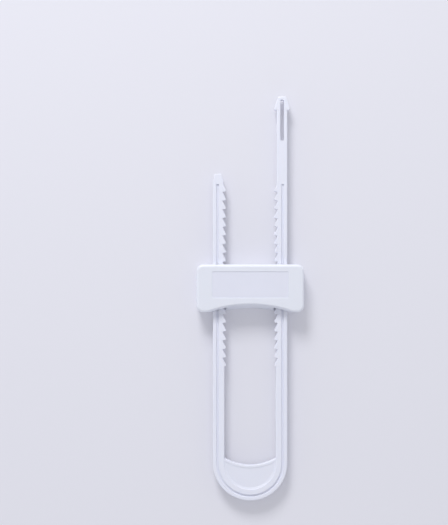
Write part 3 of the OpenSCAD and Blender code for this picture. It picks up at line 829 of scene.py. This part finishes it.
# %% [markdown]
# ## The squeeze buttons
# All that shows of a button is its pad in the block's end, with five half-round grooves for the
# grip of a thumb. Behind the wall sits a flange that keeps it from falling out, and an arm that
# reaches over the leg to the pawl. The pad is drawn as an outline with its grooves and lofted
# through its width. Its last rings draw in, so the grooves run out on a rounded edge, as they do
# when a round cutter makes them in the mould. One drawing serves both sides, mirrored for the left.

# %% Buttons
PAD_HALF, PAD_Z0, PAD_Z1, PAD_EDGE_R, PAD_CORNER_R = 7.75, 3.65, 10.15, 0.5, 0.8
GRIPS, GRIP_PITCH, GRIP_R = 5, 2.4, 0.5
ARM_END_X, PAD_ROOT_X, FLANGE_X0, FLANGE_X1 = 28, 28.3, 27.4, 29
button_low, button_high = (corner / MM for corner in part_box("right_button"))


def pad_ring(inset, z):
    """The pad's outline with its grip grooves, drawn in all round by inset."""
    half, face_x = PAD_HALF - inset, button_high.x - inset
    corner = PAD_CORNER_R - PAD_CORNER_R * inset
    outline = [(PAD_ROOT_X, -half)] + arc((face_x - corner, corner - half), corner, -90, 0, 6)
    open_half = math.sqrt(GRIP_R ** 2 - min(inset, 0.45) ** 2)
    for i in range(GRIPS):
        middle = (i - (GRIPS - 1) / 2) * GRIP_PITCH
        outline.append((face_x, middle - open_half - 0.1))
        for share in np.linspace(-1, 1, 13):
            along = open_half * math.sin(share * math.pi / 2)
            deep_x = button_high.x - math.sqrt(GRIP_R ** 2 - along ** 2)
            outline.append((deep_x if abs(share) < 1 else face_x, middle + along))
        outline.append((face_x, middle + open_half + 0.1))
    outline += arc((face_x - corner, half - corner), corner, 0, 90, 6) + [(PAD_ROOT_X, half)]
    return [(x, PAD_Y + y, z) for x, y in outline]


pad_levels = [(PAD_EDGE_R * down, PAD_EDGE_R * out) for out, down in quarter((0, 20, 40, 65, 90))]
for side, name in ((-1, "left"), (1, "right")):
    arm = bmesh.new()
    box(arm, (button_low.x, ARM_Y0, ARM_Z0), (ARM_END_X, ARM_Y1, button_high.z))
    made = finish_piece(name + "_squeeze_button", arm, abs_eroded_painted_shade,
                        name + "_release", [name + "_button"], side=side)
    flange = bmesh.new()
    box(flange, (FLANGE_X0, button_low.y, button_low.z), (FLANGE_X1, button_high.y, button_high.z))
    combine(made, flange, "UNION", SOFT_RIM, side)
    pad = bmesh.new()
    loft(pad, [pad_ring(inset, PAD_Z0 + up) for inset, up in pad_levels]
         + [pad_ring(inset, PAD_Z1 - up) for inset, up in reversed(pad_levels)])
    combine(made, pad, "UNION", 0, side)

# %% [markdown]
# ## The springy pawls
# A pawl is a small acetal part: a root that sits on a post, a thin finger, and a head with the hook
# that catches the teeth and a peg that the button's arm pushes.

# %% Outlines drawn in or divided
def drawn_in(line, by):
    """A closed line, listed counterclockwise, moved inwards."""
    moved = []
    for k, point in enumerate(line):
        along = Vector(line[(k + 1) % len(line)]) - Vector(line[k - 1])
        moved.append(tuple(Vector(point) + Vector((-along.y, along.x)).normalized() * by))
    return moved


def divided(line, step):
    """The same line with points added, so that none are further apart than step."""
    points = [line[0]]
    for start, end in zip(line, line[1:]):
        parts = math.ceil((Vector(end) - Vector(start)).length / step)
        points += [tuple(Vector(start).lerp(Vector(end), k / parts)) for k in range(1, parts + 1)]
    return points


# %% Pawls
pawl_low, pawl_high = (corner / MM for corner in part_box("right_pawl"))
ROOT_Y, FINGER_TOP_Y = pawl_high.y - 4.5, pawl_high.y - 3.3
FINGER_X0, FINGER_X, FINGER_X1, FINGER_Z0, FINGER_Z1 = 12, 12.6, 13.2, 2.5, 8.5
HEAD_X0, HEAD_X1, HEAD_Y1 = 11.6, 13.6, 1.84
HOOK_Y0, HOOK_Y1, HOOK_TOP_Y = 0.28, 1.08, 1.41
ROOT_X0, ROOT_X1, PEG_Z0, PEG_Z1 = 9.8, 13.8, 7.6, 11.2
# The hole for the post, as (radius, height)
POST_HOLE = [(1.35, 1.9), (1.35, 2.25), (1.05, 2.55), (1.05, 9.2)]
# The pawl's rounded edges, as (in from the side, down from the top)
PAWL_EDGE = [(0.08, 0), (0.02, 0.03), (0, 0.1)]
pawl_line = rounded([(FINGER_X, FINGER_TOP_Y), (FINGER_X0, FINGER_TOP_Y), (FINGER_X0, HEAD_Y1),
                     (HEAD_X0, HEAD_Y1), (HEAD_X0, pawl_low.y), (HEAD_X1, pawl_low.y),
                     (pawl_high.x, HOOK_Y0), (pawl_high.x, HOOK_Y1), (HEAD_X1, HOOK_TOP_Y),
                     (HEAD_X1, HEAD_Y1), (FINGER_X1, HEAD_Y1), (FINGER_X1, FINGER_TOP_Y),
                     (FINGER_X, FINGER_TOP_Y)],
                    [0.1, 0.3, 0.12, 0.2, 0.2, 0.12, 0.12, 0.1, 0.12, 0.3, 0.1], 3)
pawl_line = divided(pawl_line, 0.5)[:-1]


def soft_bar(bm, line, z0, z1):
    """An upright bar on an outline, with its upper and lower edges rounded."""
    rings = [(by, z0 + up) for by, up in PAWL_EDGE]
    rings += [(by, z1 - up) for by, up in reversed(PAWL_EDGE)]
    loft(bm, [[(x, y, z) for x, y in drawn_in(line, by)] for by, z in rings])


root_line = round_rect(ROOT_X0, ROOT_Y, ROOT_X1, pawl_high.y, 0.4, 5)
peg_line = round_rect(HEAD_X0 + 0.1, pawl_low.y + 0.1, HEAD_X1 - 0.1, HEAD_Y1 - 0.1, 0.3, 5)
for side, name in ((-1, "left"), (1, "right")):
    finger = bmesh.new()
    soft_bar(finger, pawl_line, FINGER_Z0, FINGER_Z1)
    made = finish_piece(name + "_spring_pawl", finger, acetal, None,
                        [name + "_pawl"], side=side)
    ends = bmesh.new()
    soft_bar(ends, root_line, pawl_low.z, pawl_high.z)
    soft_bar(ends, peg_line, PEG_Z0, PEG_Z1)
    combine(made, ends, "UNION", 0, side)
    hole = bmesh.new()
    turned(hole, (POST_X, POST_Y), POST_HOLE, 32)
    combine(made, hole, "DIFFERENCE", 0, side)
    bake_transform(made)

# %% [markdown]
# ## The cover screws
# Two small countersunk screws with a cross recess hold the covers together. They are self-tapping,
# so the thread is a narrow ridge with a wide plain root, and it runs out on the point. A Screw
# modifier could turn one tooth of the thread round the axis, but its ends stay open. Here a strip
# of points follows the helix, turn after turn, and at both ends its height is held at the limit, so
# that the points of the last turn fall together into a clean circle that the head and point join.

# %% Thread and point
THREAD_PITCH, COLUMNS = 1.3, 32
# One turn of the thread, as (share of the pitch, share of the ridge's height)
RIDGE = [(0, 0), (0.34, 0), (0.47, 1), (0.53, 1), (0.66, 0)]
HEAD_Z, THREAD_Z0, POINT_Z, THREAD_Z1, END_Z = 0.25, 1.95, 8.15, 9.6, 9.75
CORE_R, CREST_R, END_CORE_R, END_CREST_R = 1.05, 1.45, 0.2, 0.36


def thread_point(column, share, height):
    """A point on the thread: column counts round and up, share is along the pitch."""
    z = THREAD_Z0 - THREAD_PITCH + THREAD_PITCH * (column / COLUMNS + share)
    z = min(max(z, THREAD_Z0), THREAD_Z1)
    to_point = max(0, z - POINT_Z) / (END_Z - POINT_Z)
    core = CORE_R - (CORE_R - END_CORE_R) * to_point
    crest = CREST_R - (CREST_R - END_CREST_R) * to_point
    rise = height * min(1, (z - THREAD_Z0) / 0.6, (THREAD_Z1 - z) / 0.5)
    angle = 2 * math.pi * column / COLUMNS
    radius = core + (crest - core) * rise
    return radius * math.cos(angle), radius * math.sin(angle), z


def thread(bm, x, y):
    """Adds a thread's surface on an axis at x, y, open at both ends."""
    turns = math.ceil((END_Z - THREAD_Z0) / THREAD_PITCH) + 2
    grid = [[bm.verts.new(Vector((x, y, 0)) + Vector(thread_point(c, share, height)))
             for share, height in RIDGE] for c in range(turns * COLUMNS + 1)]
    for c in range((turns - 1) * COLUMNS):
        here = grid[c] + [grid[c + COLUMNS][0]]
        after = grid[c + 1] + [grid[c + 1 + COLUMNS][0]]
        for k in range(len(RIDGE)):
            bm.faces.new((here[k], after[k], after[k + 1], here[k + 1]))


# %% Screws
# The head's outline as (radius, height), and the cross recess as (length, width, depth)
HEAD = [(2.6, HEAD_Z), (2.72, HEAD_Z + 0.04), (2.75, HEAD_Z + 0.12), (2.68, HEAD_Z + 0.2),
        (1.45, 1.5), (1.35, 1.7), (CORE_R, THREAD_Z0)]
POINT = [(0.28, THREAD_Z1), (0.16, END_Z - 0.03), (0.05, END_Z)]
RECESS = [(3, 0.72, -0.1), (2.9, 0.66, 0), (1.5, 0.5, 0.95), (0.8, 0.3, 1.1)]


def cross_ring(long, wide, x, y, z):
    """The outline of a cross at x, y and height z."""
    long, wide = long / 2, wide / 2
    arm = [(wide, -long), (wide, -wide), (long, -wide)]
    outline = []
    for _ in range(4):
        outline += arm
        arm = [(-b, a) for a, b in arm]
    return [(x + a, y + b, z) for a, b in outline]


for side, name in ((-1, "left"), (1, "right")):
    x, y = side * SCREW_X, SCREW_Y
    bm = bmesh.new()
    thread(bm, x, y)
    turned(bm, (x, y), HEAD, COLUMNS, last_cap=False)
    turned(bm, (x, y), POINT, COLUMNS, first_cap=False)
    made = finish_piece(name + "_cover_screw", bm, zinc, "block", ["cover_screws"])
    recess = bmesh.new()
    loft(recess, [cross_ring(long, wide, x, y, HEAD_Z + deep) for long, wide, deep in RECESS])
    combine(made, recess, "DIFFERENCE")

# %% Report the boxes and finish
low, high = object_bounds()
print("visual box in mm:", [round(v / MM, 2) for v in low], [round(v / MM, 2) for v in high])
